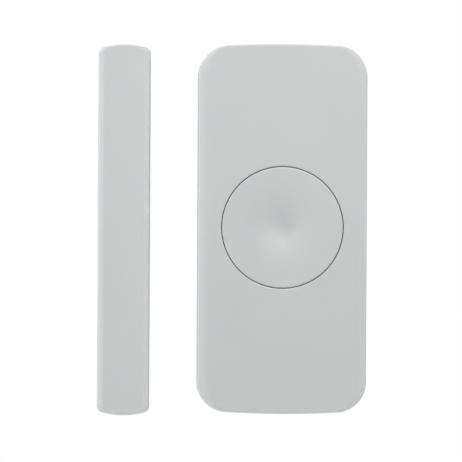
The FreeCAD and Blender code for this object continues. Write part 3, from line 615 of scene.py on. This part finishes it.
def solder_mask(name, colour):
    """Solder mask over copper tracks, which show as slightly raised and lighter lines."""
    s = Surface(name)
    facing = s.node("ShaderNodeMapping", Vector=s.place, Rotation=(-math.pi / 2, 0, 0)).outputs["Vector"]
    lanes = s.node("ShaderNodeTexBrick", {"offset": 0.37, "squash": 0.6}, Vector=facing, Scale=1 / (9 * MM),
                   Mortar_Size=0.03, Mortar_Smooth=0.2, Bias=0.0, Brick_Width=0.7, Row_Height=0.11)
    tracks = lanes.outputs["Fac"]
    base = s.mixed(tracks, tint(colour, 0.9), tint(colour, 1.8))
    base = s.mixed(s.ramp(s.noise(6 * MM), 0, 0.25), base, tint(colour, 0.7))
    normal = s.bump(tracks, 0.03 * MM, 0.6)
    normal = s.bump(s.noise(0.2 * MM), 0.004 * MM, 0.5, normal)
    return s.finish(Base_Color=base, Roughness=s.ramp(s.noise(2 * MM), 0.25, 0.4), Normal=normal)


def clear(name, colour, rough=0.05, weight=0.9):
    """Clear plastic or glass with faint flow lines in it."""
    s = Surface(name)
    flow = s.noise(1.5 * MM, 3)
    base = s.mixed(s.ramp(flow, 0, 0.5), tint(colour, 1.0), tint(colour, 0.93))
    s.finish(Transmission_Weight=weight, IOR=1.5)
    return s.finish(Base_Color=base, Roughness=s.ramp(flow, rough, rough + 0.06),
                    Normal=s.bump(flow, 0.01 * MM, 0.3))


def speckled(name, colour, other, grain, rough, relief=0.01 * MM, coat=0.0):
    """Two colours in fine grains, for fired, wound or pressed materials."""
    s = Surface(name)
    grains = s.cells(grain)
    base = s.mixed(s.ramp(grains, 0, 1, 0.2, 0.6), tint(colour, 1.0), tint(other, 1.0))
    base = s.mixed(s.ramp(s.noise(3 * grain), 0, 0.3), base, tint(colour, 0.85))
    s.finish(Coat_Weight=coat)
    return s.finish(Base_Color=base, Roughness=s.ramp(grains, rough - 0.05, rough + 0.08, 0, 0.6),
                    Normal=s.bump(grains, relief, 0.6))


SHELL = (0.700, 0.708, 0.7125)
LENS = (0.711, 0.719, 0.7235)
materials = {
    "shell_plastic": moulded("shell_plastic", SHELL),
    "lens_plastic": moulded("lens_plastic", LENS, 0.36, relief=0.003 * MM, soft=0.15),
    "plate_plastic": moulded("plate_plastic", (0.67, 0.675, 0.68), 0.48, relief=0.009 * MM),
    "inner_plastic": moulded("inner_plastic", (0.72, 0.72, 0.71), 0.4),
    "black_plastic": moulded("black_plastic", (0.022, 0.022, 0.024), 0.5),
    "clear_plastic": clear("clear_plastic", (0.92, 0.95, 0.96), 0.06),
    "foam_tape": foam("foam_tape", (0.74, 0.74, 0.72), 0.22 * MM),
    "grey_foam": foam("grey_foam", (0.10, 0.10, 0.105), 0.45 * MM),
    "screw_steel": metal("screw_steel", (0.50, 0.50, 0.52), 0.32),
    "spring_steel": metal("spring_steel", (0.62, 0.61, 0.58), 0.25, (1, 1, 0.06)),
    "tinned_steel": metal("tinned_steel", (0.60, 0.60, 0.60), 0.34, (0.08, 1, 1)),
    "nickel_can": metal("nickel_can", (0.66, 0.64, 0.60), 0.2, (1, 0.08, 1)),
    "magnet_nickel": metal("magnet_nickel", (0.60, 0.59, 0.57), 0.16, (1, 1, 1), 0.006 * MM, 0.4),
    "pin_brass": metal("pin_brass", (0.78, 0.58, 0.28), 0.22, (1, 0.05, 1)),
    "reed_metal": metal("reed_metal", (0.52, 0.51, 0.48), 0.3, (1, 1, 0.05)),
    "reed_glass": clear("reed_glass", (0.62, 0.88, 0.76), 0.03, 0.95),
    "infrared_window": speckled("infrared_window", (0.02, 0.02, 0.03), (0.04, 0.03, 0.05), 0.3 * MM, 0.15,
                                coat=0.5),
    "circuit_board": solder_mask("circuit_board", (0.02, 0.17, 0.07)),
    "chip_plastic": speckled("chip_plastic", (0.02, 0.02, 0.022), (0.05, 0.05, 0.05), 0.12 * MM, 0.55),
    "led_body": speckled("led_body", (0.80, 0.78, 0.62), (0.86, 0.85, 0.74), 0.4 * MM, 0.3, coat=0.4),
    "chip_ceramic": speckled("chip_ceramic", (0.42, 0.31, 0.20), (0.60, 0.50, 0.38), 0.15 * MM, 0.45),
    "cell_core": speckled("cell_core", (0.08, 0.08, 0.08), (0.22, 0.21, 0.20), 0.2 * MM, 0.6),
    "battery_wrap": moulded("battery_wrap", (0.06, 0.11, 0.26), 0.22, 0.6 * MM, 0.004 * MM),
    "washer_fibre": speckled("washer_fibre", (0.76, 0.73, 0.64), (0.64, 0.60, 0.50), 0.25 * MM, 0.85),
}


def dress(piece, material):
    """Puts one material in every slot of a piece."""
    if not piece.material_slots:
        piece.data.materials.append(material)
    for holder in piece.material_slots:
        holder.material = material


for row in frame["record"]["subparts"]:
    dress(frame["nodes"][row["node"]], materials[row["material_slot"]])
for piece in pieces:
    dress(piece, materials[piece["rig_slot"]])

# ---------------------------------------------------------------- stage, light and camera
FLOOR_DEPTH = 0.25
FLOOR_RADIUS = 1.6
FLOOR_GLOW = 0.15               # how brightly the floor itself shines, as a lit table does
CAMERA_DISTANCE = 2.5           # from the camera to the sensor's front face
SEEN_WIDTH = 100.6 * MM         # what the picture takes in at that face
AIM_OFFSET = Vector((-0.26 * MM, 0, -0.335 * MM))   # from that face's middle to what the camera faces
CAMERA_ELEVATION = math.radians(-0.5)
CAMERA_ROLL = math.radians(0.3)
GLOW = 0.295                    # how brightly the surroundings light the object
LIGHTS = [
    # name, azimuth, elevation, distance, width, height, watts
    ("key", 19, 55, 0.40, 0.25, 0.25, 0.77),
    ("front", 36, 22, 1.0, 0.4, 0.4, 1.28),
    ("left_strip", -80, 20, 0.6, 0.1, 0.3, 1.10),
    ("left_rim", -98, 4, 0.4, 0.08, 0.24, 0.45),
    ("right_strip", 82, 4, 0.4, 0.08, 0.24, 0.08),
    ("right_rim", 105, 4, 0.4, 0.08, 0.24, 0.09),
    ("back_left", 215, 30, 0.9, 0.4, 0.4, 2.3),
    ("back_right", 135, 25, 0.9, 0.4, 0.4, 1.5),
]

middle = (cad_box[0] + cad_box[1]) / 2


def round_floor():
    """A plain pale disc well below the object, with a faint mottle."""
    bpy.ops.mesh.primitive_circle_add(vertices=96, radius=FLOOR_RADIUS, fill_type="NGON",
                                      location=(middle.x, middle.y, middle.z - FLOOR_DEPTH))
    floor = bpy.context.object
    floor.name = "floor"
    s = Surface("pale_floor")
    base = s.mixed(s.ramp(s.noise(0.08, 4), 0, 1), (0.76, 0.76, 0.76, 1), (0.79, 0.79, 0.79, 1))
    s.finish(Emission_Color=(1, 1, 1, 1), Emission_Strength=FLOOR_GLOW)
    dress(floor, s.finish(Base_Color=base, Roughness=s.ramp(s.noise(0.02, 3), 0.75, 0.85)))


def towards(azimuth, elevation, distance):
    """A place round the middle of the object; azimuth 0 is straight in front and 90 is at +X."""
    a, e = math.radians(azimuth), math.radians(elevation)
    return middle + distance * Vector((math.sin(a) * math.cos(e), -math.cos(a) * math.cos(e), math.sin(e)))


def soft_light(name, azimuth, elevation, distance, width, height, watts):
    """A rectangular studio light that faces the object."""
    data = bpy.data.lights.new(name, "AREA")
    data.shape = "RECTANGLE"
    data.size = width
    data.size_y = height
    data.energy = watts
    light = bpy.data.objects.new(name, data)
    bpy.context.scene.collection.objects.link(light)
    light.location = towards(azimuth, elevation, distance)
    light.rotation_euler = (middle - light.location).to_track_quat("-Z", "Y").to_euler()
    light.visible_camera = False


def studio_world():
    """White behind the object, and an even grey glow for lighting it."""
    world = bpy.data.worlds.new("studio")
    world.use_nodes = True
    tree = world.node_tree
    tree.nodes.clear()
    glow = tree.nodes.new("ShaderNodeBackground")
    glow.inputs["Color"].default_value = (GLOW, GLOW, GLOW, 1)
    white = tree.nodes.new("ShaderNodeBackground")
    white.inputs["Color"].default_value = (1, 1, 1, 1)
    path = tree.nodes.new("ShaderNodeLightPath")
    either = tree.nodes.new("ShaderNodeMixShader")
    output = tree.nodes.new("ShaderNodeOutputWorld")
    tree.links.new(path.outputs["Is Camera Ray"], either.inputs[0])
    tree.links.new(glow.outputs[0], either.inputs[1])
    tree.links.new(white.outputs[0], either.inputs[2])
    tree.links.new(either.outputs[0], output.inputs["Surface"])
    bpy.context.scene.world = world


def place_camera():
    """A long lens straight in front, a touch low and rolled by a fraction of a degree."""
    data = bpy.data.cameras.new("camera")
    data.sensor_width = 36.0
    data.lens = data.sensor_width * CAMERA_DISTANCE / SEEN_WIDTH
    data.clip_start = 0.05
    data.clip_end = 20.0
    camera = bpy.data.objects.new("camera", data)
    bpy.context.scene.collection.objects.link(camera)
    target = Vector((middle.x, sensor.front, middle.z)) + AIM_OFFSET
    back = Vector((0, -math.cos(CAMERA_ELEVATION), math.sin(CAMERA_ELEVATION)))
    camera.location = target + back * CAMERA_DISTANCE
    facing = (-back).to_track_quat("-Z", "Y")
    camera.rotation_euler = (facing @ Quaternion((0, 0, 1), CAMERA_ROLL)).to_euler()
    bpy.context.scene.camera = camera


round_floor()
studio_world()
for light in LIGHTS:
    soft_light(*light)
place_camera()
bpy.context.scene.view_settings.view_transform = "Standard"
